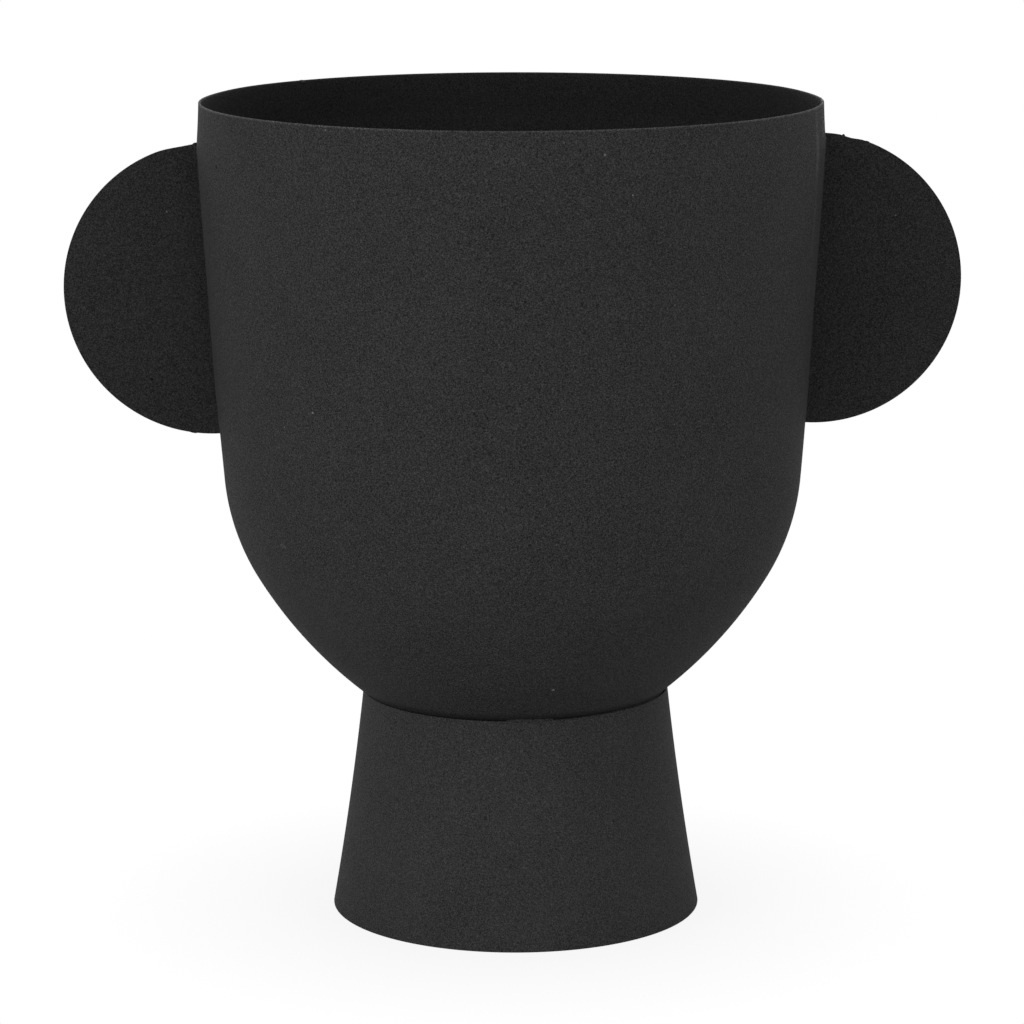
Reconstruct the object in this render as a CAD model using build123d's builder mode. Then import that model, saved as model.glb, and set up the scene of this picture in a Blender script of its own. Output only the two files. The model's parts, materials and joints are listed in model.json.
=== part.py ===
"""A welded sheet-metal vase: a deep round bowl with two flat ears, on a flared hollow foot.

Millimetres, +Z up. The origin lies on the floor, on the bowl's axis. The ears point along
-X (left) and +X (right), and the front of the vase faces -Y.
"""

from build123d import *
from math import acos, asin, atan, cos, degrees, radians, sin, sqrt, tan
import os

# Bowl, outside sizes
rim_radius = 115.0
height = 307.0
lip_height = 13.5  # band below the rim that is drawn in
lip_lean = 4.6  # degrees inwards from upright
lip_bend_radius = 30.0
wall_lean = 2.7  # degrees outwards from upright, just below the lip
wall_bow_radius = 3500.0  # the rolled wall is very slightly barrelled
girth_height = 166.0  # the wall stops here and the dish begins
knuckle_radius = 84.0
knuckle_end_lean = 30.8  # degrees from upright, where the knuckle runs into the flatter dish
dish_radius = 167.0
crown_edge_radius = 50.0  # inside this the dish is a plain spherical crown
bowl_sheet = 1.0

# Foot, outside sizes
foot_radius = 69.8
neck_radius = 57.6
foot_hollow = 0.7  # how far the flared side dips in from a straight line
foot_sheet = 1.0
foot_shift = 1.0  # the foot was welded on slightly off the bowl's axis, towards +X

# Ears
ear_radius = 54.4
ear_inset = 2.1  # the middle of each ear's disc lies this far inside the rim's radius
left_ear_drop = 16.3  # from the rim down to the ear's top; the pair was welded on slightly uneven
right_ear_drop = 12.6
ear_sheet = 1.5

# Weld metal
seam_gap = 1.6  # gap between the sheet edges of each upright butt joint
girth_gap = 1.2
girth_bead_lap = 1.2  # how far the inner bead laps onto each sheet
girth_bead_height = 0.5
wall_seam_angle = 4.0  # degrees round from +X, just behind the right ear
foot_seam_angle = 90.0
ear_bead = 1.0
ear_bead_stop = 4.0  # each ear bead stops this short of the ear's top and bottom
neck_bead = 3.0
tack_leg = 1.6
tack_angle = -85.5  # degrees round from +X, so it sits at the front, a little to the right
tack_length = 12.0


def on_arc(centre, radius, lean):
    """Point where an outline arc leans by this many degrees from upright."""
    return (centre[0] + radius * cos(radians(lean)), centre[1] - radius * sin(radians(lean)))


def arc_centre(point, radius, lean):
    """Centre of an outline arc through a point at which it leans by this many degrees."""
    return (point[0] - radius * cos(radians(lean)), point[1] + radius * sin(radians(lean)))


def outline_arc(centre, radius, lean_from, lean_to):
    """Arc of the outline between two leans, drawn downwards when the lean grows."""
    return CenterArc(centre, radius, -lean_from, lean_from - lean_to)


# The bowl's outline is one smooth chain, worked out downwards from the rim
lip_foot = (rim_radius + lip_height * tan(radians(lip_lean)), height - lip_height)
bend_centre = arc_centre(lip_foot, lip_bend_radius, -lip_lean)
wall_top = on_arc(bend_centre, lip_bend_radius, wall_lean)
wall_centre = arc_centre(wall_top, wall_bow_radius, wall_lean)
girth_lean = degrees(asin((wall_centre[1] - girth_height) / wall_bow_radius))
girth_point = on_arc(wall_centre, wall_bow_radius, girth_lean)
knuckle_centre = arc_centre(girth_point, knuckle_radius, girth_lean)
knuckle_end = on_arc(knuckle_centre, knuckle_radius, knuckle_end_lean)
dish_centre = arc_centre(knuckle_end, dish_radius, knuckle_end_lean)
crown_lean = degrees(acos((crown_edge_radius - dish_centre[0]) / dish_radius))
crown_edge = on_arc(dish_centre, dish_radius, crown_lean)
crown_radius = crown_edge_radius / cos(radians(crown_lean))
crown_centre = arc_centre(crown_edge, crown_radius, crown_lean)

# The ring weld fills the first stretch of the knuckle, and its bead laps onto both sheets
dish_start_lean = girth_lean + degrees(girth_gap / knuckle_radius)
bead_top_lean = girth_lean - degrees(girth_bead_lap / wall_bow_radius)
bead_foot_lean = dish_start_lean + degrees(girth_bead_lap / knuckle_radius)


def dish_underside(radius):
    """Height of the dish's outer face at this distance from the bowl's axis."""
    return dish_centre[1] - sqrt(dish_radius**2 - (radius - dish_centre[0]) ** 2)


def joint_plane(axis_x, turn):
    """Upright plane through an axis at this X, turned this many degrees round from +X."""
    run = Vector(1, 0, 0).rotate(Axis.Z, turn)
    return Plane(origin=(axis_x, 0, 0), x_dir=run, z_dir=run.cross(Vector(0, 0, 1)))


# The foot's outer face runs up to the underside of the dish
neck_height = dish_underside(neck_radius)
foot_flare = atan((foot_radius - neck_radius) / neck_height)
foot_wall = foot_sheet / cos(foot_flare)
foot_axis = Axis((foot_shift, 0, 0), (0, 0, 1))
foot_plane = joint_plane(foot_shift, 0)

tack_turn = degrees(tack_length / neck_radius)


def lip_line(inset):
    """The lip's outline from its foot to the rim, this far inside the outer face."""
    foot = on_arc(bend_centre, lip_bend_radius - inset, -lip_lean)
    return Line(foot, (foot[0] - (height - foot[1]) * tan(radians(lip_lean)), height))


def dish_arcs(inset, lean_from):
    """The dish's outline down to the axis, this far inside the outer face."""
    outline_arc(knuckle_centre, knuckle_radius - inset, lean_from, knuckle_end_lean)
    outline_arc(dish_centre, dish_radius - inset, knuckle_end_lean, crown_lean)
    outline_arc(crown_centre, crown_radius - inset, crown_lean, 90)


def foot_side(inset):
    """The foot's flared side and its straight run on into the dish, this far inside."""
    flare = SagittaArc((foot_radius - inset, 0), (neck_radius - inset, neck_height), foot_hollow)
    run_on = PolarLine(flare @ 1, girth_height - neck_height, direction=flare % 1)
    return flare @ 0, run_on @ 1


# Filled shape of the bowl, used to cut everything that is fitted against it
with BuildPart() as bowl_form:
    with BuildSketch(Plane.XZ):
        with BuildLine():
            rim = lip_line(0)
            outline_arc(bend_centre, lip_bend_radius, -lip_lean, wall_lean)
            outline_arc(wall_centre, wall_bow_radius, wall_lean, girth_lean)
            dish_arcs(0, girth_lean)
            Polyline(on_arc(crown_centre, crown_radius, 90), (0, height), rim @ 1)
        make_face()
    revolve(axis=Axis.Z)

# Rolled wall before its upright joint is cut
with BuildPart() as wall_ring:
    with BuildSketch(Plane.XZ):
        with BuildLine():
            outer_lip = lip_line(0)
            outline_arc(bend_centre, lip_bend_radius, -lip_lean, wall_lean)
            outer_wall = outline_arc(wall_centre, wall_bow_radius, wall_lean, girth_lean)
            inner_wall = outline_arc(
                wall_centre, wall_bow_radius - bowl_sheet, wall_lean, girth_lean
            )
            outline_arc(bend_centre, lip_bend_radius - bowl_sheet, -lip_lean, wall_lean)
            inner_lip = lip_line(bowl_sheet)
            Line(outer_wall @ 1, inner_wall @ 1)
            Line(outer_lip @ 1, inner_lip @ 1)
        make_face()
    revolve(axis=Axis.Z)

with BuildPart() as wall_joint:
    with BuildSketch(joint_plane(0, wall_seam_angle)):
        Rectangle(2 * rim_radius, height, align=(Align.MIN, Align.MIN))
    extrude(amount=seam_gap / 2, both=True)

# Rolled wall, open at its joint, and the weld ground flush that closes it
with BuildPart() as bowl_wall:
    add(wall_ring.part)
    add(wall_joint.part, mode=Mode.SUBTRACT)

with BuildPart() as wall_seam_weld:
    add(wall_ring.part)
    add(wall_joint.part, mode=Mode.INTERSECT)

# Pressed dish that closes the bowl
with BuildPart() as bowl_dish:
    with BuildSketch(Plane.XZ):
        with BuildLine():
            dish_arcs(0, dish_start_lean)
            dish_arcs(bowl_sheet, dish_start_lean)
            Line(
                on_arc(knuckle_centre, knuckle_radius, dish_start_lean),
                on_arc(knuckle_centre, knuckle_radius - bowl_sheet, dish_start_lean),
            )
            Line(
                on_arc(crown_centre, crown_radius, 90),
                on_arc(crown_centre, crown_radius - bowl_sheet, 90),
            )
        make_face()
    revolve(axis=Axis.Z)

# Ring weld between wall and dish: it fills the gap flush outside and stands up as a low bead inside
with BuildPart() as girth_weld:
    with BuildSketch(Plane.XZ):
        with BuildLine():
            filled_gap = outline_arc(knuckle_centre, knuckle_radius, girth_lean, dish_start_lean)
            on_wall = outline_arc(
                wall_centre, wall_bow_radius - bowl_sheet, bead_top_lean, girth_lean
            )
            on_dish = outline_arc(
                knuckle_centre, knuckle_radius - bowl_sheet, dish_start_lean, bead_foot_lean
            )
            Line(filled_gap @ 0, on_wall @ 1)
            Line(filled_gap @ 1, on_dish @ 0)
            SagittaArc(on_wall @ 0, on_dish @ 1, -girth_bead_height)
        make_face()
    revolve(axis=Axis.Z)

# Filled shapes of the foot and of the space inside it, carried up into the dish
with BuildPart() as foot_form:
    with BuildSketch(foot_plane):
        with BuildLine():
            floor_edge, run_on_end = foot_side(0)
            Polyline(floor_edge, (0, 0), (0, run_on_end.Y), run_on_end)
        make_face()
    revolve(axis=foot_axis)

with BuildPart() as foot_space:
    with BuildSketch(foot_plane):
        with BuildLine():
            floor_edge, run_on_end = foot_side(foot_wall)
            Polyline(floor_edge, (0, 0), (0, run_on_end.Y), run_on_end)
        make_face()
    revolve(axis=foot_axis)

# Rolled foot, trimmed to the underside of the dish, before its upright joint is cut
with BuildPart() as foot_ring:
    add(foot_form.part)
    add([foot_space.part, bowl_form.part], mode=Mode.SUBTRACT)

with BuildPart() as foot_joint:
    with BuildSketch(joint_plane(foot_shift, foot_seam_angle)):
        Rectangle(2 * foot_radius, height, align=(Align.MIN, Align.MIN))
    extrude(amount=seam_gap / 2, both=True)

# Rolled foot, open at its joint, and the weld ground flush that closes it
with BuildPart() as foot_skirt:
    add(foot_ring.part)
    add(foot_joint.part, mode=Mode.SUBTRACT)

with BuildPart() as foot_seam_weld:
    add(foot_ring.part)
    add(foot_joint.part, mode=Mode.INTERSECT)

# Bead inside the foot, in the corner under the dish, run round from the foot's own joint
with BuildPart() as neck_weld:
    with BuildSketch(joint_plane(foot_shift, foot_seam_angle)):
        with Locations((neck_radius - foot_wall, dish_underside(neck_radius - foot_wall))):
            Circle(neck_bead)
    revolve(axis=foot_axis)
    add(foot_space.part, mode=Mode.INTERSECT)
    add(bowl_form.part, mode=Mode.SUBTRACT)

# Short tack at the front, in the crease outside
with BuildPart() as neck_tack:
    with BuildSketch(foot_plane, mode=Mode.PRIVATE) as tack_section:
        with Locations((neck_radius, neck_height)):
            Circle(tack_leg)
    add(tack_section.sketch.rotate(foot_axis, tack_angle - tack_turn / 2))
    revolve(axis=foot_axis, revolution_arc=tack_turn)
    add([bowl_form.part, foot_form.part], mode=Mode.SUBTRACT)

os.makedirs("parts", exist_ok=True)
pieces = {
    "bowl_wall": bowl_wall,
    "wall_seam_weld": wall_seam_weld,
    "bowl_dish": bowl_dish,
    "girth_weld": girth_weld,
    "foot_skirt": foot_skirt,
    "foot_seam_weld": foot_seam_weld,
    "neck_weld": neck_weld,
    "neck_tack": neck_tack,
}
for name, piece in pieces.items():
    piece.part.label = name
    export_step(piece.part, f"parts/{name}.step")

# Ears: flat discs in the plane through the bowl's axis, cut away where they meet the wall,
# each held by a fine bead on both faces
for hand, side, drop in (("left", -1, left_ear_drop), ("right", 1, right_ear_drop)):
    middle = height - drop - ear_radius
    with BuildPart() as ear:
        with BuildSketch(Plane.XZ):
            with Locations((side * (rim_radius - ear_inset), middle)):
                Circle(ear_radius)
        extrude(amount=ear_sheet / 2, both=True)
        add(bowl_form.part, mode=Mode.SUBTRACT)
    ear.part.label = f"ear_{hand}"
    export_step(ear.part, f"parts/ear_{hand}.step")

    # The beads follow the wall's slight barrel, so they turn about the centre of that barrel
    barrel_axis = Axis((side * wall_centre[0], 0, wall_centre[1]), (0, side, 0))
    bead_reach = ear_radius - ear_bead_stop
    lower_lean = degrees(asin((wall_centre[1] - middle + bead_reach) / wall_bow_radius))
    upper_lean = degrees(asin((wall_centre[1] - middle - bead_reach) / wall_bow_radius))
    for face, facing in (("front", -1), ("back", 1)):
        corner = (side * (wall_centre[0] + wall_bow_radius), facing * ear_sheet / 2)
        quarter = (corner[0] + side * ear_bead / 2, corner[1] + facing * ear_bead / 2)
        with BuildPart() as bead:
            with BuildSketch(Plane.XY.offset(wall_centre[1]), mode=Mode.PRIVATE) as bead_section:
                with Locations(corner):
                    Circle(ear_bead)
                with Locations(quarter):
                    Rectangle(ear_bead, ear_bead, mode=Mode.INTERSECT)
            add(bead_section.sketch.rotate(barrel_axis, lower_lean))
            revolve(axis=barrel_axis, revolution_arc=upper_lean - lower_lean)
        bead.part.label = f"ear_{hand}_{face}_weld"
        export_step(bead.part, f"parts/ear_{hand}_{face}_weld.step")
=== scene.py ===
"""Black sheet-metal vase with two flat ears on a flared foot, under sand-texture powder coat.

Metres, +Z up. The origin lies on the floor, on the bowl's axis. The ears point along -X and +X,
and the front of the vase faces -Y.
"""

import json
from math import acos, asin, cos, degrees, pi, radians, sin, sqrt, tan
from random import Random

import bmesh
import bpy
from mathutils import Matrix, Vector


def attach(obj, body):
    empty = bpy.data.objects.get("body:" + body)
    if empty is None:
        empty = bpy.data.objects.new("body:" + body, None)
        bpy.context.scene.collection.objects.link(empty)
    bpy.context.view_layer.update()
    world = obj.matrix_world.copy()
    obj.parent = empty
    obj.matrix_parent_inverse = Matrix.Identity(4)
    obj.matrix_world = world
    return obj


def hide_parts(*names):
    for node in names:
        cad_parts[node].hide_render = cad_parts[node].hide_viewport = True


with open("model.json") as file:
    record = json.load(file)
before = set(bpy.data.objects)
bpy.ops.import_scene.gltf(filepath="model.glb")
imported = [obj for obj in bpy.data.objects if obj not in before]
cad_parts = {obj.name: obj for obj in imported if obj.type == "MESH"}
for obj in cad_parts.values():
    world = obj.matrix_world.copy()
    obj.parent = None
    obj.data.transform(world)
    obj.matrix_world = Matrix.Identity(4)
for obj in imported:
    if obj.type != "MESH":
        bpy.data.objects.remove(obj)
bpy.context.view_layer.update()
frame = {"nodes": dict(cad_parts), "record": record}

# Bowl
RIM_RADIUS = 0.115
HEIGHT = 0.307
LIP_HEIGHT = 0.0135
LIP_LEAN = 4.6
LIP_BEND_RADIUS = 0.030
WALL_LEAN = 2.7
WALL_BOW_RADIUS = 3.5
GIRTH_HEIGHT = 0.166
KNUCKLE_RADIUS = 0.084
KNUCKLE_END_LEAN = 30.8
DISH_RADIUS = 0.167
CROWN_EDGE_RADIUS = 0.050
GIRTH_GAP = 0.0012
BOWL_SHEET = 0.001
WALL_PULL = 0.0003  # the ears' welds drew the wall in by this much
WALL_PULL_SPAN = (0.188, 0.290)  # heights between which it is drawn in
WALL_DRIFT = 0.0003  # the wall stands this far towards -X of the dish near the rim
DRIFT_RISE = 0.05  # height above the girth over which the drift sets in
RIM_DROP = 0.00015  # the ground rim lies this far under the highest lump of coat
RIM_STRETCH = 0.0036  # share by which the ears pull the rim wider
STRETCH_BAND = 1.2 * LIP_HEIGHT  # height below the rim over which the stretch fades
RIM_FLATS = ((13, 0.0005, 0.030), (166, 0.0006, 0.032))  # angle, depth and reach of each

# Foot
FOOT_RADIUS = 0.0698
NECK_RADIUS = 0.0576
FOOT_HOLLOW = 0.0007
FOOT_SHEET = 0.001
FOOT_SHIFT = 0.001  # the foot stands this far towards +X of the bowl
FOOT_STEPS = 36
FOOT_OVERLAP = 0.004  # height by which the foot is drawn too long before it is cut
CREASE_GAP = 0.0007  # open height between the foot's top edge and the bowl
CREASE_SHIFT = 0.0006  # the foot's top edge is cut this much towards +X of the bowl
CREASE_TURN = 0.47  # degrees that keep the cutting form's ribs off the foot's

# Ears
EAR_RADIUS = {"left": 0.0547, "right": 0.0544}
EAR_REACH = {"left": 0.1126, "right": 0.1129}
EAR_SHEET = 0.0015
EAR_MIDDLE = {"left": 0.2364, "right": 0.2400}
EAR_CIRCLE_SEGMENTS = 240
EAR_FILINGS = (  # ear, place along X, depth and reach of each filed-low spot
    ("left", -0.1228, 0.0005, 0.0100),
    ("right", 0.1252, 0.0005, 0.0050),
)

# Welds
SEAM_WIDTH = 0.0022
SEAM_PROUD = 0.00008  # a ground seam stands this much over both faces of the sheet
WALL_SEAM_ANGLE = 4.0
WALL_SEAM_DROP = 0.0004  # keeps the seam's top end under the rim's rounded edge
FOOT_SEAM_ANGLE = 90.0
FOOT_SEAM_START = 0.0003
FOOT_SEAM_STOP = 0.002  # the foot's seam ends this far under the neck
EAR_BEAD_RADIUS = 0.0005
EAR_BEAD_STEPS = 64
EAR_BEAD_ENDS = (  # step counted from the bead's foot or top, and share of its radius there
    (0, 0.35), (1, 0.8), (-1, 0.45), (-2, 1.15), (-3, 1.3), (-4, 1.2)
)
BEAD_SIDES = 12
TACK_ANGLES = (-93.6, -75.5)
TACK_STEPS = 22
TACK_RADIUS = 0.00105
TACK_INSET = 0.0006  # the tack runs this far inside the neck's outer face
TACK_DROP = 0.00035  # and this far under the height where the neck would meet the bowl
GIRTH_BEAD = 0.0009  # height of the girth's bead inside the bowl
GIRTH_ROOT = 0.0002  # its two toes are sunk this deep into the sheet

# Meshes
RING_SEGMENTS = 288
EDGE_BAND = 0.0005  # a sheet's end vertices lie within this height of its end
COAT_EDGE = 0.00035  # radius that the coat leaves on a sheet's edge
COAT_EDGE_SEGMENTS = 3
LUMP_START_RADIUS = 0.001  # before a lump is drawn out to its size

# Studio
CAMERA_PLACE = (-0.00023, -1.5099, 0.4499)
CAMERA_PITCH = 11.183
CAMERA_ROLL = -0.096
CAMERA_LENS = 143.49
LAMP_AIM = (0, 0, 0.16)
LAMP_HEIGHT = 0.45
LAMP_TALL = 1.0
SOFTBOXES = (  # name, direction from the front in degrees, distance, width and watts
    ("softbox_left", -50, 1.3, 0.7, 6.3),
    ("softbox_right", 45, 1.3, 0.7, 3.4),
    ("softbox_back", 180, 1.5, 1.0, 4.0),
)
AMBIENT = 0.54
FLOOR_GREY = 0.80
SHADOW_SPAN = (0.075, 0.16)  # distances from the axis between which the shadow fades
SHADOW_WHITE = 0.88  # share of plain white that the camera sees right beside the foot


def on_arc(centre, radius, lean):
    """Point where an outline arc leans by this many degrees from upright."""
    return (centre[0] + radius * cos(radians(lean)), centre[1] - radius * sin(radians(lean)))


def arc_centre(point, radius, lean):
    """Centre of an outline arc through a point at which it leans by this many degrees."""
    return (point[0] - radius * cos(radians(lean)), point[1] + radius * sin(radians(lean)))


def arc_run(centre, radius, lean_from, lean_to, steps):
    """Evenly spaced points of an outline arc."""
    leans = [lean_from + (lean_to - lean_from) * i / steps for i in range(steps + 1)]
    return [on_arc(centre, radius, lean) for lean in leans]


lip_foot = (RIM_RADIUS + LIP_HEIGHT * tan(radians(LIP_LEAN)), HEIGHT - LIP_HEIGHT)
bend_centre = arc_centre(lip_foot, LIP_BEND_RADIUS, -LIP_LEAN)
wall_top = on_arc(bend_centre, LIP_BEND_RADIUS, WALL_LEAN)
wall_centre = arc_centre(wall_top, WALL_BOW_RADIUS, WALL_LEAN)
girth_lean = degrees(asin((wall_centre[1] - GIRTH_HEIGHT) / WALL_BOW_RADIUS))
girth_point = on_arc(wall_centre, WALL_BOW_RADIUS, girth_lean)
knuckle_centre = arc_centre(girth_point, KNUCKLE_RADIUS, girth_lean)
knuckle_end = on_arc(knuckle_centre, KNUCKLE_RADIUS, KNUCKLE_END_LEAN)
dish_centre = arc_centre(knuckle_end, DISH_RADIUS, KNUCKLE_END_LEAN)
crown_lean = degrees(acos((CROWN_EDGE_RADIUS - dish_centre[0]) / DISH_RADIUS))
crown_edge = on_arc(dish_centre, DISH_RADIUS, crown_lean)
crown_radius = CROWN_EDGE_RADIUS / cos(radians(crown_lean))
crown_centre = arc_centre(crown_edge, crown_radius, crown_lean)
dish_start_lean = girth_lean + degrees(GIRTH_GAP / KNUCKLE_RADIUS)
neck_height = dish_centre[1] - sqrt(DISH_RADIUS**2 - (NECK_RADIUS - dish_centre[0]) ** 2)


def joined(*runs):
    """Runs of outline points one after another, each shared end given once."""
    points = list(runs[0])
    for run in runs[1:]:
        points += run[1:]
    return points


lip_run = [
    (RIM_RADIUS + LIP_HEIGHT * tan(radians(LIP_LEAN)) * i / 4, HEIGHT - LIP_HEIGHT * i / 4)
    for i in range(5)
]
true_outline = joined(
    lip_run,
    arc_run(bend_centre, LIP_BEND_RADIUS, -LIP_LEAN, WALL_LEAN, 4),
    arc_run(wall_centre, WALL_BOW_RADIUS, WALL_LEAN, girth_lean, 40),
)


def pulled_in(radius, height):
    """Radius of the wall at a height, less what the ears' welds drew in."""
    low, high = WALL_PULL_SPAN
    share = min(1.0, max(0.0, (height - low) / (high - low)))
    return radius - WALL_PULL * sin(pi * share) ** 2


wall_outline = [(pulled_in(r, z), z) for r, z in true_outline]


def dish_outline(start_lean):
    """The dish's outer face from its top edge down to just off the axis."""
    points = joined(
        arc_run(knuckle_centre, KNUCKLE_RADIUS, start_lean, KNUCKLE_END_LEAN, 22),
        arc_run(dish_centre, DISH_RADIUS, KNUCKLE_END_LEAN, crown_lean, 26),
        arc_run(crown_centre, crown_radius, crown_lean, 90, 20),
    )
    return points[:-1]


def wall_drift(height):
    """How far the wall's rings stand off the bowl's axis at this height."""
    share = min(1.0, max(0.0, (height - GIRTH_HEIGHT) / DRIFT_RISE))
    return -WALL_DRIFT * share * share * (3 - 2 * share)


def rim_stretch(height):
    """How much wider than round the wall is across the ears at this height."""
    share = min(1.0, max(0.0, (height - (HEIGHT - STRETCH_BAND)) / STRETCH_BAND))
    return 1 + RIM_STRETCH * share * share


def no_drift(height):
    """The bowl's dish and the foot stand straight."""
    return 0.0


def no_stretch(height):
    """The bowl's dish and the foot are round."""
    return 1.0


def radius_at(outline, height):
    """Radius of an outline at a height, between its two nearest points."""
    for (r0, z0), (r1, z1) in zip(outline, outline[1:]):
        if z1 <= height <= z0:
            return r0 + (r1 - r0) * (z0 - height) / (z0 - z1)
    return outline[0][0] if height > outline[0][1] else outline[-1][0]


def edit(piece):
    """Opens one piece, alone, for edit-mode work with nothing of it selected."""
    if bpy.context.object and bpy.context.object.mode != "OBJECT":
        bpy.ops.object.mode_set(mode="OBJECT")
    bpy.ops.object.select_all(action="DESELECT")
    piece.select_set(True)
    bpy.context.view_layer.objects.active = piece
    bpy.ops.object.mode_set(mode="EDIT")
    bpy.ops.mesh.select_all(action="DESELECT")


def finish_edit(piece):
    """Back to object mode, with the piece's place moved into its mesh."""
    bpy.ops.object.mode_set(mode="OBJECT")
    bpy.ops.object.transform_apply(location=True, rotation=True, scale=True)
    return piece


def pick(piece, test, kind="VERT"):
    """Selects the vertices, edges or faces whose middle passes a test."""
    bpy.ops.mesh.select_mode(type=kind)
    mesh = bmesh.from_edit_mesh(piece.data)
    place = piece.matrix_world
    parts = {"VERT": mesh.verts, "EDGE": mesh.edges, "FACE": mesh.faces}[kind]
    for part in parts:
        if kind == "VERT":
            middle = place @ part.co
        else:
            middle = place @ (sum((v.co for v in part.verts), Vector()) / len(part.verts))
        part.select_set(test(middle))
    mesh.select_flush_mode()
    bmesh.update_edit_mesh(piece.data)


def add_modifier(piece, kind, **settings):
    """Adds a modifier with these settings and applies it."""
    bpy.ops.object.select_all(action="DESELECT")
    piece.select_set(True)
    bpy.context.view_layer.objects.active = piece
    modifier = piece.modifiers.new(kind.lower(), kind)
    for name, value in settings.items():
        setattr(modifier, name, value)
    bpy.ops.object.modifier_apply(modifier=modifier.name)


def smooth(piece, angle=32):
    """Smooth shading, with edges sharper than this angle kept."""
    bpy.ops.object.select_all(action="DESELECT")
    piece.select_set(True)
    bpy.context.view_layer.objects.active = piece
    bpy.ops.object.shade_smooth_by_angle(angle=radians(angle))


def turned_shell(name, outline, axis_x, drift=no_drift, stretch=no_stretch, to_axis=False):
    """A shell pulled ring by ring, downwards, along an outline of (radius, height) points."""
    radius, height = outline[0]
    bpy.ops.object.select_all(action="DESELECT")
    bpy.ops.mesh.primitive_circle_add(
        vertices=RING_SEGMENTS, radius=radius, location=(axis_x + drift(height), 0, height)
    )
    shell = bpy.context.object
    shell.name = name
    bpy.ops.object.mode_set(mode="EDIT")
    bpy.ops.mesh.select_mode(type="EDGE")
    bpy.ops.mesh.select_all(action="SELECT")
    bpy.ops.transform.resize(
        value=(stretch(height), 1, 1), center_override=(axis_x + drift(height), 0, height)
    )
    for (r0, z0), (r1, z1) in zip(outline, outline[1:]):
        step = (drift(z1) - drift(z0), 0, z1 - z0)
        bpy.ops.mesh.extrude_region_move(TRANSFORM_OT_translate={"value": step})
        wider = r1 / r0 * stretch(z1) / stretch(z0)
        bpy.ops.transform.resize(
            value=(wider, r1 / r0, 1), center_override=(axis_x + drift(z1), 0, z1)
        )
    if to_axis:
        bpy.ops.mesh.merge(type="CENTER")
    bpy.ops.mesh.select_all(action="SELECT")
    bpy.ops.mesh.normals_make_consistent(inside=False)
    return finish_edit(shell)


def flatten_ring(piece, test, height):
    """Grinds the ring of vertices that passes a test flat at one height."""
    edit(piece)
    pick(piece, test)
    bpy.ops.transform.resize(value=(1, 1, 0), center_override=(0, 0, height))
    finish_edit(piece)


def push(piece, test, step, reach):
    """Moves the vertices that pass a test, and draws their neighbours along."""
    edit(piece)
    pick(piece, test)
    bpy.ops.transform.translate(
        value=step,
        use_proportional_edit=True,
        proportional_edit_falloff="SMOOTH",
        proportional_size=reach,
    )
    finish_edit(piece)


def round_ring(piece, test):
    """Rounds the sharp ring edges that pass a test, as the coat does."""
    edit(piece)
    pick(piece, test, "EDGE")
    bpy.ops.mesh.bevel(
        offset=COAT_EDGE, segments=COAT_EDGE_SEGMENTS, profile=0.5, affect="EDGES"
    )
    finish_edit(piece)


# Filled form of the bowl, which cuts the ears and the foot to fit and is then removed
bowl_plug = turned_shell(
    "bowl_plug",
    joined(wall_outline, dish_outline(girth_lean)),
    0,
    wall_drift,
    rim_stretch,
    to_axis=True,
)
edit(bowl_plug)
pick(bowl_plug, lambda p: p.z > HEIGHT - 1e-5, "EDGE")
bpy.ops.mesh.edge_face_add()
bpy.ops.mesh.select_all(action="SELECT")
bpy.ops.mesh.normals_make_consistent(inside=False)
finish_edit(bowl_plug)

# Rolled wall
bowl_wall = turned_shell("bowl_wall_coated", wall_outline, 0, wall_drift, rim_stretch)
add_modifier(bowl_wall, "SOLIDIFY", thickness=BOWL_SHEET, offset=-1, use_even_offset=True)
rim_height = HEIGHT - RIM_DROP
flatten_ring(bowl_wall, lambda p: p.z > HEIGHT - EDGE_BAND, rim_height)


def near_rim(angle):
    """Test for the rim's vertices within a degree of an angle round from +X."""
    beside = Vector((cos(radians(angle)), sin(radians(angle)), 0))
    return lambda p: (
        p.z > HEIGHT - EDGE_BAND and Vector((p.x, p.y, 0)).angle(beside) < radians(1.0)
    )


# The rim stayed a little flatter behind each ear
for angle, depth, reach in RIM_FLATS:
    turn = radians(angle)
    push(bowl_wall, near_rim(angle), (-depth * cos(turn), -depth * sin(turn), 0), reach)
round_ring(bowl_wall, lambda p: p.z > rim_height - 2e-5)

# Pressed dish
bowl_dish = turned_shell("bowl_dish_coated", dish_outline(dish_start_lean), 0, to_axis=True)
add_modifier(bowl_dish, "SOLIDIFY", thickness=BOWL_SHEET, offset=-1, use_even_offset=True)

# Flared foot, cut off along the underside of the dish
run_on_slope = (NECK_RADIUS - FOOT_RADIUS + 4 * FOOT_HOLLOW) / neck_height
foot_outline = [(NECK_RADIUS + run_on_slope * FOOT_OVERLAP, neck_height + FOOT_OVERLAP)]
for i in range(FOOT_STEPS + 1):
    share = 1 - i / FOOT_STEPS
    straight = FOOT_RADIUS + (NECK_RADIUS - FOOT_RADIUS) * share
    foot_outline.append((straight - 4 * FOOT_HOLLOW * share * (1 - share), neck_height * share))
foot_skirt = turned_shell("foot_skirt_coated", foot_outline, FOOT_SHIFT)
add_modifier(foot_skirt, "SOLIDIFY", thickness=FOOT_SHEET, offset=-1, use_even_offset=True)
flatten_ring(foot_skirt, lambda p: p.z < EDGE_BAND, 0.0)
crease_step = Matrix.Translation((CREASE_SHIFT, 0, -CREASE_GAP)) @ Matrix.Rotation(
    radians(CREASE_TURN), 4, "Z"
)
bowl_plug.data.transform(crease_step)
add_modifier(foot_skirt, "BOOLEAN", operation="DIFFERENCE", object=bowl_plug, solver="EXACT")
bowl_plug.data.transform(crease_step.inverted())
round_ring(foot_skirt, lambda p: p.z < 2e-5)

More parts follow.
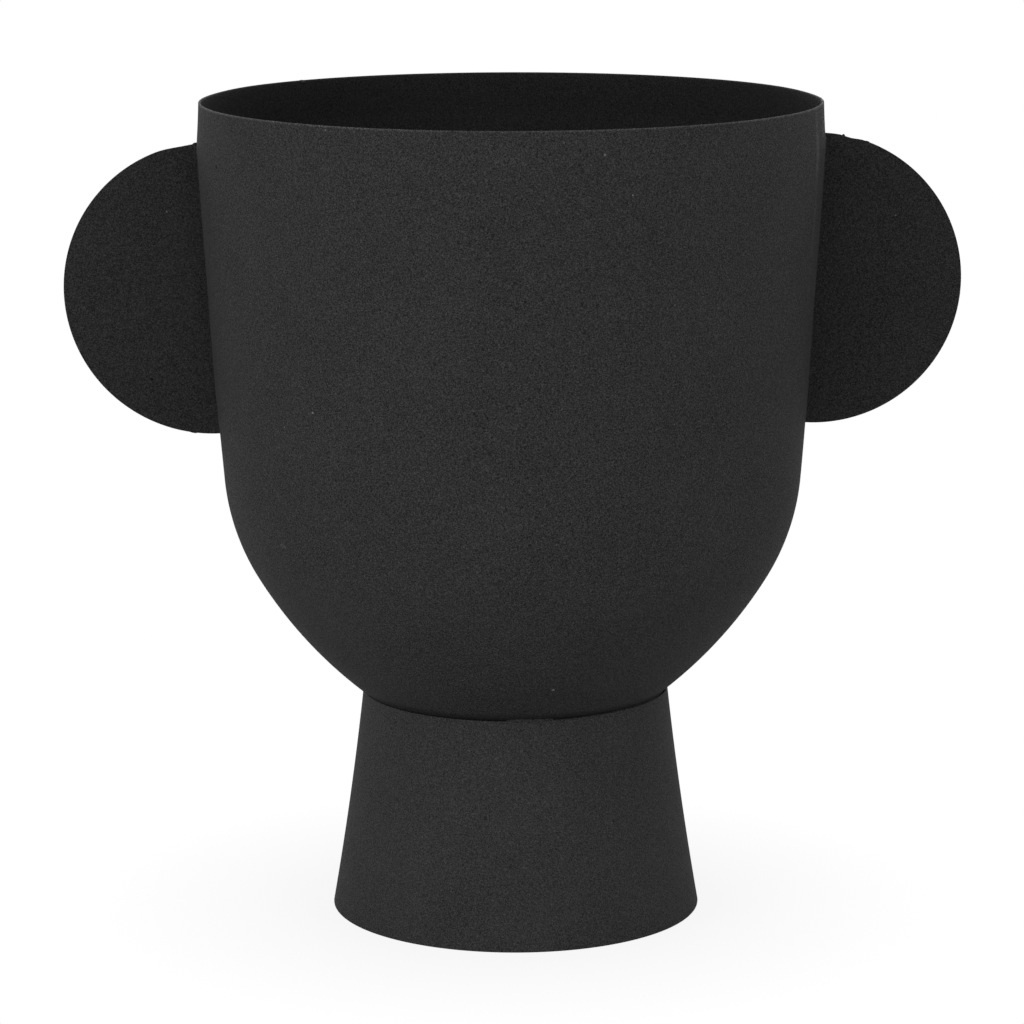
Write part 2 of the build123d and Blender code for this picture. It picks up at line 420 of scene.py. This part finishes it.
# Ears
ears = {}
for hand, side in (("left", -1), ("right", 1)):
    bpy.ops.object.select_all(action="DESELECT")
    bpy.ops.mesh.primitive_circle_add(
        vertices=EAR_CIRCLE_SEGMENTS,
        radius=EAR_RADIUS[hand],
        fill_type="NGON",
        location=(side * EAR_REACH[hand], -EAR_SHEET / 2, EAR_MIDDLE[hand]),
        rotation=(pi / 2, 0, 0),
    )
    ear = bpy.context.object
    ear.name = f"ear_{hand}_coated"
    bpy.ops.object.mode_set(mode="EDIT")
    bpy.ops.mesh.select_all(action="SELECT")
    bpy.ops.mesh.extrude_region_move(TRANSFORM_OT_translate={"value": (0, EAR_SHEET, 0)})
    bpy.ops.mesh.select_all(action="SELECT")
    bpy.ops.mesh.normals_make_consistent(inside=False)
    finish_edit(ear)
    add_modifier(ear, "BOOLEAN", operation="DIFFERENCE", object=bowl_plug, solver="EXACT")
    add_modifier(
        ear,
        "BEVEL",
        width=COAT_EDGE,
        segments=COAT_EDGE_SEGMENTS,
        limit_method="ANGLE",
        angle_limit=radians(50),
    )
    ears[hand] = ear
bpy.data.objects.remove(bowl_plug)


def near_upper_edge(place):
    """Test for an ear's upper edge vertices near a place along X."""
    return lambda p: abs(p.x - place) < 0.0008 and p.z > 0.285


# The ears' upper edges were filed a little low beside the wall
for hand, place, depth, reach in EAR_FILINGS:
    push(ears[hand], near_upper_edge(place), (0, 0, -depth), reach)


def swept_bead(name, path, radii, along):
    """A run of weld metal pulled ring by ring along a path that keeps near one axis."""
    turn = {"X": (0, pi / 2, 0), "Z": (0, 0, 0)}[along]
    bpy.ops.object.select_all(action="DESELECT")
    bpy.ops.mesh.primitive_circle_add(
        vertices=BEAD_SIDES, radius=radii[0], fill_type="NGON", location=path[0], rotation=turn
    )
    bead = bpy.context.object
    bead.name = name
    bpy.ops.object.mode_set(mode="EDIT")
    bpy.ops.mesh.select_mode(type="FACE")
    bpy.ops.mesh.select_all(action="SELECT")
    for start, end, r0, r1 in zip(path, path[1:], radii, radii[1:]):
        step = tuple(b - a for a, b in zip(start, end))
        bpy.ops.mesh.extrude_region_move(TRANSFORM_OT_translate={"value": step})
        grow = r1 / r0
        value = (1, grow, grow) if along == "X" else (grow, grow, 1)
        bpy.ops.transform.resize(value=value, center_override=end)
    bpy.ops.mesh.select_all(action="SELECT")
    bpy.ops.mesh.normals_make_consistent(inside=False)
    return finish_edit(bead)


# Weld beads in the corners between ears and wall, fuller at their top ends
ear_beads = []
for hand, side in (("left", -1), ("right", 1)):
    reach = radius_at(wall_outline, EAR_MIDDLE[hand]) - EAR_REACH[hand]
    half_run = sqrt(EAR_RADIUS[hand] ** 2 - reach**2)
    for face, front in (("front", -1), ("back", 1)):
        uneven = Random(f"ear bead {hand} {face}")
        path, radii = [], []
        for i in range(EAR_BEAD_STEPS + 1):
            height = EAR_MIDDLE[hand] + half_run * (2 * i / EAR_BEAD_STEPS - 1)
            wall_x = side * radius_at(wall_outline, height) * rim_stretch(height)
            path.append((wall_x + wall_drift(height), front * EAR_SHEET / 2, height))
            radii.append(EAR_BEAD_RADIUS * uneven.uniform(0.93, 1.07))
        for i, share in EAR_BEAD_ENDS:
            radii[i] = EAR_BEAD_RADIUS * share
        bead = swept_bead(f"ear_{hand}_{face}_bead", path, radii, "Z")
        ear_beads.append((bead, f"ear_{hand}_{face}_weld", "weld_coat"))

# Short tack that fills the crease in front, and thins out towards +X
tack_radius = NECK_RADIUS - TACK_INSET
tack_shape = Random("neck tack")
tack_path, tack_radii = [], []
for i in range(TACK_STEPS + 1):
    share = i / TACK_STEPS
    turn = radians(TACK_ANGLES[0] + (TACK_ANGLES[1] - TACK_ANGLES[0]) * share)
    along_x = FOOT_SHIFT + tack_radius * cos(turn)
    tack_path.append((along_x, tack_radius * sin(turn), neck_height - TACK_DROP))
    fullness = min(1.0, 5 * share + 0.25, 1.9 * (1 - share) + 0.2)
    tack_radii.append(TACK_RADIUS * fullness * tack_shape.uniform(0.96, 1.04))
neck_tack = swept_bead("neck_tack_fill", tack_path, tack_radii, "X")

# Ring that joins wall and dish: flush outside, a low bead inside
girth_outer = arc_run(knuckle_centre, KNUCKLE_RADIUS, girth_lean, dish_start_lean, 2)
girth_section = list(girth_outer)
for share in (1.0, 0.75, 0.5, 0.25, 0.0):
    lean = girth_lean + (dish_start_lean - girth_lean) * (2.2 * share - 0.6)
    depth = BOWL_SHEET + GIRTH_BEAD * sin(pi * share) - (GIRTH_ROOT if share in (0.0, 1.0) else 0)
    girth_section.append(on_arc(knuckle_centre, KNUCKLE_RADIUS - depth, lean))
girth_section.append(girth_outer[0])
girth_ring = turned_shell("girth_weld_ring", girth_section, 0)
edit(girth_ring)
bpy.ops.mesh.select_all(action="SELECT")
bpy.ops.mesh.remove_doubles(threshold=1e-6)
bpy.ops.mesh.normals_make_consistent(inside=False)
finish_edit(girth_ring)


def seam_strip(name, outline, axis_x, drift, stretch, angle, thickness):
    """A ground upright seam: a narrow strip of the turned form, a hair proud on both faces."""
    strip = turned_shell(name, [(r + SEAM_PROUD, z) for r, z in outline], axis_x, drift, stretch)
    turn = radians(angle)
    across = Vector((-sin(turn), cos(turn), 0))
    outward = Vector((cos(turn), sin(turn), 0))
    middle = Vector((axis_x, 0, 0))
    edit(strip)
    for place, normal in (
        (middle + across * SEAM_WIDTH / 2, across),
        (middle - across * SEAM_WIDTH / 2, -across),
        (middle, -outward),
    ):
        bpy.ops.mesh.select_all(action="SELECT")
        bpy.ops.mesh.bisect(plane_co=place, plane_no=normal, clear_outer=True)
    finish_edit(strip)
    add_modifier(
        strip,
        "SOLIDIFY",
        thickness=thickness + 2 * SEAM_PROUD,
        offset=-1,
        use_even_offset=True,
    )
    return strip


wall_seam = seam_strip(
    "wall_seam_ground",
    [(r, z - WALL_SEAM_DROP) for r, z in wall_outline],
    0,
    wall_drift,
    rim_stretch,
    WALL_SEAM_ANGLE,
    BOWL_SHEET,
)
foot_seam = seam_strip(
    "foot_seam_ground",
    [(r, z) for r, z in foot_outline if FOOT_SEAM_START < z < neck_height - FOOT_SEAM_STOP],
    FOOT_SHIFT,
    no_drift,
    no_stretch,
    FOOT_SEAM_ANGLE,
    FOOT_SHEET,
)


def coat_lump(name, place, half_size, turn_y, turn_z):
    """A low lump where the coat pooled over a burr, sunk into the sheet under it."""
    bpy.ops.object.select_all(action="DESELECT")
    bpy.ops.mesh.primitive_uv_sphere_add(
        segments=24, ring_count=14, radius=LUMP_START_RADIUS, location=(0, 0, 0)
    )
    lump = bpy.context.object
    lump.name = name
    bpy.ops.object.mode_set(mode="EDIT")
    bpy.ops.mesh.select_all(action="SELECT")
    bpy.ops.transform.resize(
        value=tuple(half / LUMP_START_RADIUS for half in half_size), center_override=(0, 0, 0)
    )
    bpy.ops.transform.vertex_random(offset=0.12 * min(half_size), uniform=0.3, normal=0.7, seed=7)
    finish_edit(lump)
    lump.data.transform(
        Matrix.Translation(place)
        @ Matrix.Rotation(radians(turn_z), 4, "Z")
        @ Matrix.Rotation(radians(turn_y), 4, "Y")
    )
    smooth(lump, 180)
    return lump


# Name, coat, place, half size, and turns about Y and Z in degrees
LUMP_TABLE = (
    ("rim_back_lump", "bowl_coat", (-0.08185, 0.08135, 0.30595), (0.0019, 0.0013, 0.00093), 0, 45),
    ("rim_front_lump", "bowl_coat", (0.0707, -0.0903, 0.3062), (0.0007, 0.0004, 0.0006), 0, 38),
    ("rim_seam_lump", "bowl_coat", (0.1147, -0.0014, 0.3062), (0.0005, 0.0010, 0.0006), 0, 0),
    ("ear_right_burr", "ear_coat", (0.1227, 0, 0.2930), (0.0006, 0.0007, 0.00085), 12, 0),
    ("ear_right_ridge", "ear_coat", (0.1316, 0, 0.29065), (0.0012, 0.0008, 0.0006), 20, 0),
    ("ear_left_ridge", "ear_coat", (-0.1172, 0, 0.2905), (0.0013, 0.0008, 0.0006), -8, 0),
    ("ear_left_drip", "ear_coat", (-0.1196, 0, 0.1825), (0.0017, 0.0008, 0.0006), 8, 0),
)
LUMPS = [(coat_lump(name, *shape), coat) for name, coat, *shape in LUMP_TABLE]

PIECES = [
    (bowl_wall, "bowl_wall", "bowl_coat"),
    (bowl_dish, "bowl_dish", "bowl_coat"),
    (foot_skirt, "foot_skirt", "foot_coat"),
    (ears["left"], "ear_left", "ear_coat"),
    (ears["right"], "ear_right", "ear_coat"),
    (neck_tack, "neck_tack", "weld_coat"),
    (girth_ring, "girth_weld", "weld_coat"),
    (wall_seam, "wall_seam_weld", "weld_coat"),
    (foot_seam, "foot_seam_weld", "weld_coat"),
    *ear_beads,
]
for piece, node, coat in PIECES:
    smooth(piece)
    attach(piece, "root")
    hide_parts(node)
for lump, coat in LUMPS:
    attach(lump, "root")


def new_group(name, inputs, outputs):
    """A shader node group with named sockets."""
    group = bpy.data.node_groups.new(name, "ShaderNodeTree")
    for socket, kind, value in inputs:
        made = group.interface.new_socket(name=socket, in_out="INPUT", socket_type=kind)
        made.default_value = value
    for socket, kind in outputs:
        group.interface.new_socket(name=socket, in_out="OUTPUT", socket_type=kind)
    entry = group.nodes.new("NodeGroupInput")
    end = group.nodes.new("NodeGroupOutput")
    return group, entry, end


def math_node(tree, operation, a, b=None, clamp=False):
    """A math node fed by sockets or numbers."""
    node = tree.nodes.new("ShaderNodeMath")
    node.operation = operation
    node.use_clamp = clamp
    for socket, value in zip(node.inputs, (a, b)):
        if value is None:
            continue
        if isinstance(value, (int, float)):
            socket.default_value = value
        else:
            tree.links.new(value, socket)
    return node.outputs[0]


def noise(tree, vector, scale, detail, roughness=0.5):
    """A noise pattern on these coordinates, at a scale given by a number or a socket."""
    node = tree.nodes.new("ShaderNodeTexNoise")
    node.inputs["Detail"].default_value = detail
    node.inputs["Roughness"].default_value = roughness
    if isinstance(scale, (int, float)):
        node.inputs["Scale"].default_value = scale
    else:
        tree.links.new(scale, node.inputs["Scale"])
    tree.links.new(vector, node.inputs["Vector"])
    return node.outputs["Fac"]


# Powder coat
GRAIN_SCALE = 2250.0
GRAIN_SKEW = 1.7  # leaves most grains dark and a few bright
GRAIN_RELIEF = 0.00008
# Scale of the glints painted into the coat's colour: painted highlights
PAINTED_GLINT_SCALE = 1250.0
PATCH_SCALE = 28.0
DARKEST_GRAIN = 0.12
BOWL_CONTRAST, FOOT_CONTRAST, EAR_CONTRAST, INSIDE_CONTRAST = 0.72, 0.56, 0.66, 0.60
COAT_SHEEN = 0.06  # specular level: a sand texture hardly shines
# Painted highlight along the rim's rounded edge
RIM_HIGHLIGHT_GAIN = 1.5
# Painted shade in the crease between the bowl and the foot
CREASE_SHADE_GAIN = -0.6
BOWL_COLOUR = (0.0298, 0.0298, 0.0301)
# The same black coat painted darker inside the bowl: painted shade
INSIDE_SHADED_COLOUR = (0.0208, 0.0208, 0.0211)
# The same black coat painted lighter on the foot: painted light, for light bounced up from the
# floor
FOOT_LIT_COLOUR = (0.0350, 0.0350, 0.0353)
# The same black coat painted darker on the ears: painted shade, where the wall keeps light off
# them
EAR_SHADED_COLOUR = (0.0226, 0.0226, 0.0229)


def make_sand_grain():
    """Powder coat's sand texture: grain in colour, gloss and relief, slow patches, and glints
    painted into the colour as painted highlights.
    """
    group, entry, end = new_group(
        "sand_grain",
        [
            ("Coat", "NodeSocketColor", (*BOWL_COLOUR, 1)),
            ("Grain Scale", "NodeSocketFloat", GRAIN_SCALE),
            ("Grain Contrast", "NodeSocketFloat", BOWL_CONTRAST),
            ("Patch Contrast", "NodeSocketFloat", 0.08),
            ("Relief", "NodeSocketFloat", GRAIN_RELIEF),
            ("Roughness", "NodeSocketFloat", 0.72),
            ("Marks", "NodeSocketFloat", 1.0),
        ],
        [
            ("Color", "NodeSocketColor"),
            ("Roughness", "NodeSocketFloat"),
            ("Normal", "NodeSocketVector"),
        ],
    )
    link = group.links.new
    place = group.nodes.new("ShaderNodeTexCoord").outputs["Object"]
    grain = noise(group, place, entry.outputs["Grain Scale"], 2.0, 0.6)
    patches = noise(group, place, PATCH_SCALE, 3.0, 0.55)
    grain_swing = math_node(group, "MULTIPLY", math_node(group, "SUBTRACT", grain, 0.5), 4.0)
    grain_share = math_node(group, "MULTIPLY", grain_swing, entry.outputs["Grain Contrast"])
    patch_swing = math_node(group, "MULTIPLY", math_node(group, "SUBTRACT", patches, 0.5), 4.0)
    patch_share = math_node(group, "MULTIPLY", patch_swing, entry.outputs["Patch Contrast"])
    grain_level = math_node(group, "ADD", grain_share, 0.95)
    grain_level = math_node(group, "MAXIMUM", grain_level, 0.0)
    grain_level = math_node(group, "POWER", grain_level, GRAIN_SKEW)
    level = math_node(group, "ADD", grain_level, patch_share)
    # Sparse glints painted into the colour: painted highlights on the grain
    painted_glints = noise(group, place, PAINTED_GLINT_SCALE, 1.0)
    painted_glint_share = group.nodes.new("ShaderNodeMapRange")
    painted_glint_share.inputs["From Min"].default_value = 0.70
    painted_glint_share.inputs["From Max"].default_value = 0.80
    link(painted_glints, painted_glint_share.inputs["Value"])
    level = math_node(group, "ADD", level, painted_glint_share.outputs["Result"])
    level = math_node(group, "MAXIMUM", level, DARKEST_GRAIN)
    level = math_node(group, "MULTIPLY", level, entry.outputs["Marks"])
    tint = group.nodes.new("ShaderNodeVectorMath")
    tint.operation = "SCALE"
    link(entry.outputs["Coat"], tint.inputs[0])
    link(level, tint.inputs["Scale"])
    link(tint.outputs[0], end.inputs["Color"])
    gloss = math_node(group, "MULTIPLY", grain_swing, -0.06)
    gloss = math_node(group, "ADD", entry.outputs["Roughness"], gloss, clamp=True)
    link(gloss, end.inputs["Roughness"])
    bump = group.nodes.new("ShaderNodeBump")
    link(grain, bump.inputs["Height"])
    link(entry.outputs["Relief"], bump.inputs["Distance"])
    link(bump.outputs["Normal"], end.inputs["Normal"])
    return group


def make_coat_mark():
    """A soft-edged oval spot on the coat: 1 in its middle, 0 outside."""
    group, entry, end = new_group(
        "coat_mark",
        [
            ("Centre", "NodeSocketVector", (0, 0, 0)),
            ("Half Size", "NodeSocketVector", (0.001, 0.001, 0.001)),
            ("Turn", "NodeSocketVector", (0, 0, 0)),
        ],
        [("Mask", "NodeSocketFloat")],
    )
    link = group.links.new
    spot = group.nodes.new("ShaderNodeMapping")
    spot.vector_type = "TEXTURE"
    link(group.nodes.new("ShaderNodeTexCoord").outputs["Object"], spot.inputs["Vector"])
    link(entry.outputs["Centre"], spot.inputs["Location"])
    link(entry.outputs["Half Size"], spot.inputs["Scale"])
    link(entry.outputs["Turn"], spot.inputs["Rotation"])
    far = group.nodes.new("ShaderNodeVectorMath")
    far.operation = "LENGTH"
    link(spot.outputs["Vector"], far.inputs[0])
    fade = group.nodes.new("ShaderNodeMapRange")
    fade.interpolation_type = "SMOOTHSTEP"
    fade.inputs["From Min"].default_value = 1.0
    fade.inputs["From Max"].default_value = 0.25
    link(far.outputs["Value"], fade.inputs["Value"])
    link(fade.outputs["Result"], end.inputs["Mask"])
    return group


def make_rim_highlight():
    """Painted highlight along the rim's rounded edge, lighter and a little uneven: 1 on the edge,
    0 below.
    """
    group, entry, end = new_group(
        "rim_highlight", [("Depth", "NodeSocketFloat", 0.0007)], [("Mask", "NodeSocketFloat")]
    )
    link = group.links.new
    place = group.nodes.new("ShaderNodeTexCoord").outputs["Object"]
    split = group.nodes.new("ShaderNodeSeparateXYZ")
    link(place, split.inputs[0])
    below = math_node(group, "SUBTRACT", HEIGHT - RIM_DROP, split.outputs["Z"])
    share = math_node(group, "DIVIDE", below, entry.outputs["Depth"], clamp=True)
    mask = math_node(group, "SUBTRACT", 1.0, share)
    uneven = noise(group, place, 90.0, 2.0)
    ends = math_node(group, "ABSOLUTE", split.outputs["X"])
    ends = math_node(group, "MULTIPLY", ends, 6.0)
    strength = math_node(group, "ADD", ends, uneven)
    link(math_node(group, "MULTIPLY", mask, strength), end.inputs["Mask"])
    return group


def make_crease_shade():
    """Painted shade on the dish beside the crease: 1 at the foot's edge, 0 further out."""
    group, entry, end = new_group(
        "crease_shade",
        [("Radius", "NodeSocketFloat", NECK_RADIUS), ("Width", "NodeSocketFloat", 0.004)],
        [("Mask", "NodeSocketFloat")],
    )
    link = group.links.new
    split = group.nodes.new("ShaderNodeSeparateXYZ")
    link(group.nodes.new("ShaderNodeTexCoord").outputs["Object"], split.inputs[0])
    flat = group.nodes.new("ShaderNodeCombineXYZ")
    link(split.outputs["X"], flat.inputs["X"])
    link(split.outputs["Y"], flat.inputs["Y"])
    far = group.nodes.new("ShaderNodeVectorMath")
    far.operation = "LENGTH"
    link(flat.outputs[0], far.inputs[0])
    off = math_node(group, "SUBTRACT", far.outputs["Value"], entry.outputs["Radius"])
    off = math_node(group, "ABSOLUTE", off)
    share = math_node(group, "DIVIDE", off, entry.outputs["Width"], clamp=True)
    near = math_node(group, "SUBTRACT", 1.0, share)
    low = math_node(group, "LESS_THAN", split.outputs["Z"], 0.11)
    link(math_node(group, "MULTIPLY", near, low), end.inputs["Mask"])
    return group


SAND_GRAIN = make_sand_grain()
COAT_MARK = make_coat_mark()
RIM_HIGHLIGHT = make_rim_highlight()
CREASE_SHADE = make_crease_shade()


def placed(tree, group):
    """One use of a shared group in a material."""
    node = tree.nodes.new("ShaderNodeGroup")
    node.node_tree = group
    return node


def coat_material(name, coat, contrast, marks=(), rim_highlight_gain=0.0, crease_shade_gain=0.0):
    """Matt black powder coat for one kind of surface, with its own light and dark marks."""
    material = bpy.data.materials.new(name)
    material.use_nodes = True
    tree = material.node_tree
    shader = tree.nodes["Principled BSDF"]
    shader.inputs["Specular IOR Level"].default_value = COAT_SHEEN
    grain = placed(tree, SAND_GRAIN)
    grain.inputs["Coat"].default_value = (*coat, 1)
    grain.inputs["Grain Contrast"].default_value = contrast
    masks = []
    for centre, half_size, turn, gain in marks:
        mark = placed(tree, COAT_MARK)
        mark.inputs["Centre"].default_value = centre
        mark.inputs["Half Size"].default_value = half_size
        mark.inputs["Turn"].default_value = tuple(radians(angle) for angle in turn)
        masks.append((mark, gain))
    if rim_highlight_gain:
        masks.append((placed(tree, RIM_HIGHLIGHT), rim_highlight_gain))
    if crease_shade_gain:
        masks.append((placed(tree, CREASE_SHADE), crease_shade_gain))
    level = 1.0
    for mask, gain in masks:
        share = math_node(tree, "MULTIPLY", mask.outputs["Mask"], gain)
        level = math_node(tree, "ADD", share, level)
    if masks:
        tree.links.new(level, grain.inputs["Marks"])
    tree.links.new(grain.outputs["Color"], shader.inputs["Base Color"])
    tree.links.new(grain.outputs["Roughness"], shader.inputs["Roughness"])
    tree.links.new(grain.outputs["Normal"], shader.inputs["Normal"])
    return material


# Light scuffs, pale specks and dark pinholes: place, half size, turn in degrees, gain
BOWL_MARKS = [
    ((0.1103, -0.0335, 0.2935), (0.0040, 0.0030, 0.0190), (0, 0, 0), 0.80),
    ((0.1108, -0.0320, 0.2600), (0.0040, 0.0026, 0.0440), (0, 0, 0), 0.30),
    ((-0.0975, -0.0528, 0.2024), (0.0010, 0.0010, 0.0060), (0, 13, 0), 0.45),
    ((-0.0830, -0.0655, 0.1520), (0.0030, 0.0030, 0.0012), (0, 20, 0), 0.60),
    ((-0.0706, -0.0857, 0.2042), (0.0006, 0.0006, 0.0006), (0, 0, 0), 4.5),
    ((-0.0812, -0.0750, 0.1973), (0.0005, 0.0005, 0.0005), (0, 0, 0), 3.5),
    ((0.0319, -0.1112, 0.2983), (0.0006, 0.0006, 0.0006), (0, 0, 0), 4.0),
    ((0.0417, -0.1081, 0.2841), (0.0005, 0.0005, 0.0005), (0, 0, 0), 3.5),
    ((0.0145, -0.0723, 0.0999), (0.0007, 0.0007, 0.0007), (0, 0, 0), 7.0),
    ((-0.0645, -0.0953, 0.3054), (0.0011, 0.0008, 0.0005), (0, 0, 0), 3.0),
    ((0.1147, -0.0040, 0.3066), (0.0012, 0.0032, 0.0010), (0, 0, 0), 7.0),
    ((-0.1062, -0.0471, 0.2873), (0.0011, 0.0010, 0.0010), (0, 0, 0), -0.95),
]
EAR_MARKS = [
    ((-0.1350, -0.0008, 0.2024), (0.0008, 0.0008, 0.0008), (0, 0, 0), -0.9),
    ((-0.1283, -0.0008, 0.2655), (0.0006, 0.0006, 0.0006), (0, 0, 0), 2.6),
    ((0.1425, -0.0008, 0.2638), (0.0005, 0.0005, 0.0005), (0, 0, 0), 3.0),
    ((0.1635, -0.0008, 0.2555), (0.0005, 0.0005, 0.0005), (0, 0, 0), 1.8),
    ((-0.1599, -0.0008, 0.2298), (0.0005, 0.0005, 0.0005), (0, 0, 0), 1.8),
]

COATS = {
    "bowl_coat": coat_material(
        "bowl_powder_coat",
        BOWL_COLOUR,
        BOWL_CONTRAST,
        BOWL_MARKS,
        rim_highlight_gain=RIM_HIGHLIGHT_GAIN,
        crease_shade_gain=CREASE_SHADE_GAIN,
    ),
    "foot_coat": coat_material("foot_powder_coat_painted_light", FOOT_LIT_COLOUR, FOOT_CONTRAST),
    "ear_coat": coat_material("ear_powder_coat_painted_shade", EAR_SHADED_COLOUR, EAR_CONTRAST, EAR_MARKS),
    "weld_coat": coat_material("weld_powder_coat", BOWL_COLOUR, BOWL_CONTRAST),
}
# Darker copy of the coat for the faces inside the bowl: painted shade, with the painted highlight
# on the rim's inner edge
INSIDE_SHADED_COAT = coat_material(
    "bowl_inside_powder_coat_painted_shade", INSIDE_SHADED_COLOUR, INSIDE_CONTRAST, rim_highlight_gain=RIM_HIGHLIGHT_GAIN
)


def wear(piece, material):
    """Gives a piece this one material."""
    piece.data.materials.clear()
    piece.data.materials.append(material)


def faces_inward(face):
    """Whether a face of the wall or the dish looks into the bowl, the ground rim left out."""
    middle = face.calc_center_median()
    outward = face.normal.dot(Vector((middle.x, middle.y, middle.z - HEIGHT)))
    return outward < 0 and (abs(face.normal.z) < 0.9 or middle.z < 0.1)


for piece, node, coat in PIECES:
    wear(piece, COATS[coat])
for lump, coat in LUMPS:
    wear(lump, COATS[coat])
# The faces inside the bowl take the darker copy of the coat: painted shade
for piece in (bowl_wall, bowl_dish):
    piece.data.materials.append(INSIDE_SHADED_COAT)
    edit(piece)
    bpy.ops.mesh.select_mode(type="FACE")
    mesh = bmesh.from_edit_mesh(piece.data)
    for face in mesh.faces:
        face.select_set(faces_inward(face))
    bmesh.update_edit_mesh(piece.data)
    piece.active_material_index = 1
    bpy.ops.object.material_slot_assign()
    finish_edit(piece)
node_slots = {row["node"]: row["material_slot"] for row in frame["record"]["subparts"]}
for name, node in frame["nodes"].items():
    wear(node, COATS[node_slots[name]])


# Floor: white to the camera, with the vase's soft shadow kept near the foot
bpy.ops.object.select_all(action="DESELECT")
bpy.ops.mesh.primitive_circle_add(vertices=96, radius=3.0, fill_type="NGON", location=(0, 0, 0))
floor = bpy.context.object
floor.name = "studio_floor"
floor_material = bpy.data.materials.new("studio_floor_white")
floor_material.use_nodes = True
tree = floor_material.node_tree
tree.nodes.clear()
output = tree.nodes.new("ShaderNodeOutputMaterial")
matt = tree.nodes.new("ShaderNodeBsdfDiffuse")
matt.inputs["Color"].default_value = (FLOOR_GREY, FLOOR_GREY, FLOOR_GREY, 1)
glow = tree.nodes.new("ShaderNodeEmission")
glow.inputs["Strength"].default_value = 1.0
camera_mix = tree.nodes.new("ShaderNodeMixShader")
light_path = tree.nodes.new("ShaderNodeLightPath")
place = tree.nodes.new("ShaderNodeTexCoord")
reach = tree.nodes.new("ShaderNodeVectorMath")
reach.operation = "LENGTH"
tree.links.new(place.outputs["Object"], reach.inputs[0])
fade = tree.nodes.new("ShaderNodeMapRange")
fade.inputs["From Min"].default_value = SHADOW_SPAN[0]
fade.inputs["From Max"].default_value = SHADOW_SPAN[1]
fade.inputs["To Min"].default_value = SHADOW_WHITE
fade.inputs["To Max"].default_value = 1.0
tree.links.new(reach.outputs["Value"], fade.inputs["Value"])
share = math_node(tree, "MULTIPLY", fade.outputs["Result"], light_path.outputs["Is Camera Ray"])
tree.links.new(share, camera_mix.inputs["Fac"])
tree.links.new(matt.outputs["BSDF"], camera_mix.inputs[1])
tree.links.new(glow.outputs["Emission"], camera_mix.inputs[2])
tree.links.new(camera_mix.outputs["Shader"], output.inputs["Surface"])
wear(floor, floor_material)

# World: plain soft light, seen as white by the camera and in gloss
world = bpy.data.worlds.new("studio_world")
bpy.context.scene.world = world
world.use_nodes = True
tree = world.node_tree
tree.nodes.clear()
output = tree.nodes.new("ShaderNodeOutputWorld")
soft = tree.nodes.new("ShaderNodeBackground")
soft.inputs["Strength"].default_value = AMBIENT
white = tree.nodes.new("ShaderNodeBackground")
white.inputs["Color"].default_value = (1, 1, 1, 1)
soft.inputs["Color"].default_value = (1, 1, 1, 1)
light_path = tree.nodes.new("ShaderNodeLightPath")
seen = light_path.outputs["Is Camera Ray"]
for ray in ("Is Glossy Ray", "Is Transmission Ray"):
    seen = math_node(tree, "MAXIMUM", seen, light_path.outputs[ray])
mix = tree.nodes.new("ShaderNodeMixShader")
tree.links.new(seen, mix.inputs["Fac"])
tree.links.new(soft.outputs["Background"], mix.inputs[1])
tree.links.new(white.outputs["Background"], mix.inputs[2])
tree.links.new(mix.outputs["Shader"], output.inputs["Surface"])


# Large soft lamps that look at the middle of the vase
for name, azimuth, distance, width, watts in SOFTBOXES:
    light = bpy.data.lights.new(name, "AREA")
    light.shape = "RECTANGLE"
    light.size, light.size_y = width, LAMP_TALL
    light.energy = watts
    lamp = bpy.data.objects.new(name, light)
    bpy.context.scene.collection.objects.link(lamp)
    turn = radians(azimuth)
    lamp.location = (distance * sin(turn), -distance * cos(turn), LAMP_HEIGHT)
    aim = Vector(LAMP_AIM) - lamp.location
    lamp.rotation_mode = "QUATERNION"
    lamp.rotation_quaternion = aim.to_track_quat("-Z", "Y")

camera_data = bpy.data.cameras.new("camera")
camera_data.lens = CAMERA_LENS
camera_data.sensor_width = 36.0
camera_data.clip_start, camera_data.clip_end = 0.05, 50.0
camera = bpy.data.objects.new("camera", camera_data)
bpy.context.scene.collection.objects.link(camera)
camera.matrix_world = (
    Matrix.Translation(CAMERA_PLACE)
    @ Matrix.Rotation(radians(90 - CAMERA_PITCH), 4, "X")
    @ Matrix.Rotation(radians(CAMERA_ROLL), 4, "Z")
)
bpy.context.scene.camera = camera

bpy.context.scene.view_settings.view_transform = "Standard"
